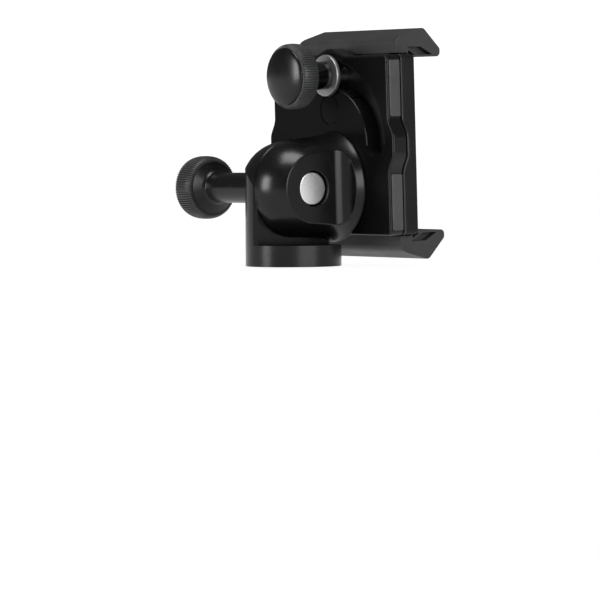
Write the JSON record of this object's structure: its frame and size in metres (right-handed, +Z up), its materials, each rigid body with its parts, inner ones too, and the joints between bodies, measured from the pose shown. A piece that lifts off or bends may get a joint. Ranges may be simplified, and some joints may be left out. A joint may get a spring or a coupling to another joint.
{
  "type": "smartphone tripod mount",
  "caption": "Phone clamp with sliding rubber jaws on a tilting hub and a round tripod base; one knob locks the tilt, the other the quarter turn of the clamp.",
  "frame": {"origin": "centre of the round base's underside, on the tripod thread's axis", "axes": "+Z up, +X along the tilt axis towards the bolt head, +Y the side the phone faces"},
  "size_m": [0.0853, 0.0582, 0.0765],
  "materials": {
    "black_metal": "black satin anodised",
    "plate_black": "matt black anodised",
    "plastic_black": "matt moulded",
    "rubber_black": "grainy matt",
    "steel_turned": "turned, bright",
    "panel_satin": "satin grey anodised",
    "brass": "cut"
  },
  "bodies": {
    "base": {"base_bracket": "black_metal", "tripod_thread_insert": "steel_turned", "tilt_bolt": "steel_turned"},
    "tilt_washer": {"tilt_thrust_washer": "steel_turned"},
    "tilt_knob": {"tilt_knob_stem": "black_metal", "tilt_knob_rim": "black_metal", "tilt_knob_cap": "black_metal"},
    "hub": {"tilt_hub": "black_metal", "friction_washer": "rubber_black", "back_plate": "plate_black", "plate_plug": "plate_black", "side_panel_left_upper": "panel_satin", "side_panel_left_lower": "panel_satin", "side_panel_right_upper": "panel_satin", "side_panel_right_lower": "panel_satin", "hub_screw_lower": "steel_turned", "hub_screw_upper": "steel_turned", "turn_friction_ring": "rubber_black"},
    "clamp": {"clamp_backing_plate": "black_metal", "clamp_body": "plastic_black", "face_pad": "rubber_black", "turn_pivot_bush": "steel_turned", "turn_pivot_screw": "steel_turned", "lock_stud": "steel_turned"},
    "pinion": {"jaw_pinion": "brass"},
    "upper_jaw": {"upper_jaw_arm": "steel_turned", "upper_jaw_pad": "rubber_black"},
    "lower_jaw": {"lower_jaw_arm": "steel_turned", "lower_jaw_pad": "rubber_black"},
    "lock_washer": {"lock_washer": "steel_turned"},
    "lock_knob": {"lock_knob_shank": "black_metal", "lock_knob_rim": "black_metal", "lock_knob_cap": "black_metal"}
  },
  "joints": [
    {"name": "tilt", "type": "hinge", "parent": "base", "child": "hub", "pos_m": [0, 0, 0.025], "axis": [1, 0, 0], "range_deg": [-1.5, 88.5]},
    {"name": "tilt_knob_travel", "type": "slide", "parent": "base", "child": "tilt_washer", "axis": [-1, 0, 0], "range_m": [0, 0.001]},
    {"name": "tilt_knob_turn", "type": "hinge", "parent": "tilt_washer", "child": "tilt_knob", "pos_m": [-0.03, 0, 0.025], "axis": [-1, 0, 0], "range_deg": [0, 360]},
    {"name": "clamp_turn", "type": "hinge", "parent": "hub", "child": "clamp", "pos_m": [0, 0.01545, 0.03871], "axis": [0, 0.9997, 0.0262], "range_deg": [0, 90]},
    {"name": "upper_jaw_slide", "type": "slide", "parent": "clamp", "child": "upper_jaw", "axis": [0, -0.0262, 0.9997], "range_m": [0, 0.0175], "stiffness_N_per_m": 120, "springref_m": -0.02},
    {"name": "lower_jaw_slide", "type": "slide", "parent": "clamp", "child": "lower_jaw", "axis": [0, 0.0262, -0.9997], "range_m": [0, 0.0175]},
    {"name": "pinion_spin", "type": "hinge", "parent": "clamp", "child": "pinion", "pos_m": [0, 0.02364, 0.03892], "axis": [0, 0.9997, 0.0262], "range_deg": [-168, 0]},
    {"name": "lock_knob_travel", "type": "slide", "parent": "clamp", "child": "lock_washer", "axis": [0, -0.9997, -0.0262], "range_m": [0, 0.001]},
    {"name": "lock_knob_turn", "type": "hinge", "parent": "lock_washer", "child": "lock_knob", "pos_m": [0, 0.00405, 0.06117], "axis": [0, -0.9997, -0.0262], "range_deg": [0, 360]}
  ],
  "couplings": [
    {"joint": "tilt_knob_turn", "follows": "tilt_knob_travel", "rad_per_m": 6283.2},
    {"joint": "lock_knob_turn", "follows": "lock_knob_travel", "rad_per_m": 6283.2},
    {"joint": "lower_jaw_slide", "follows": "upper_jaw_slide", "ratio": 1},
    {"joint": "pinion_spin", "follows": "upper_jaw_slide", "rad_per_m": -166.67}
  ]
}
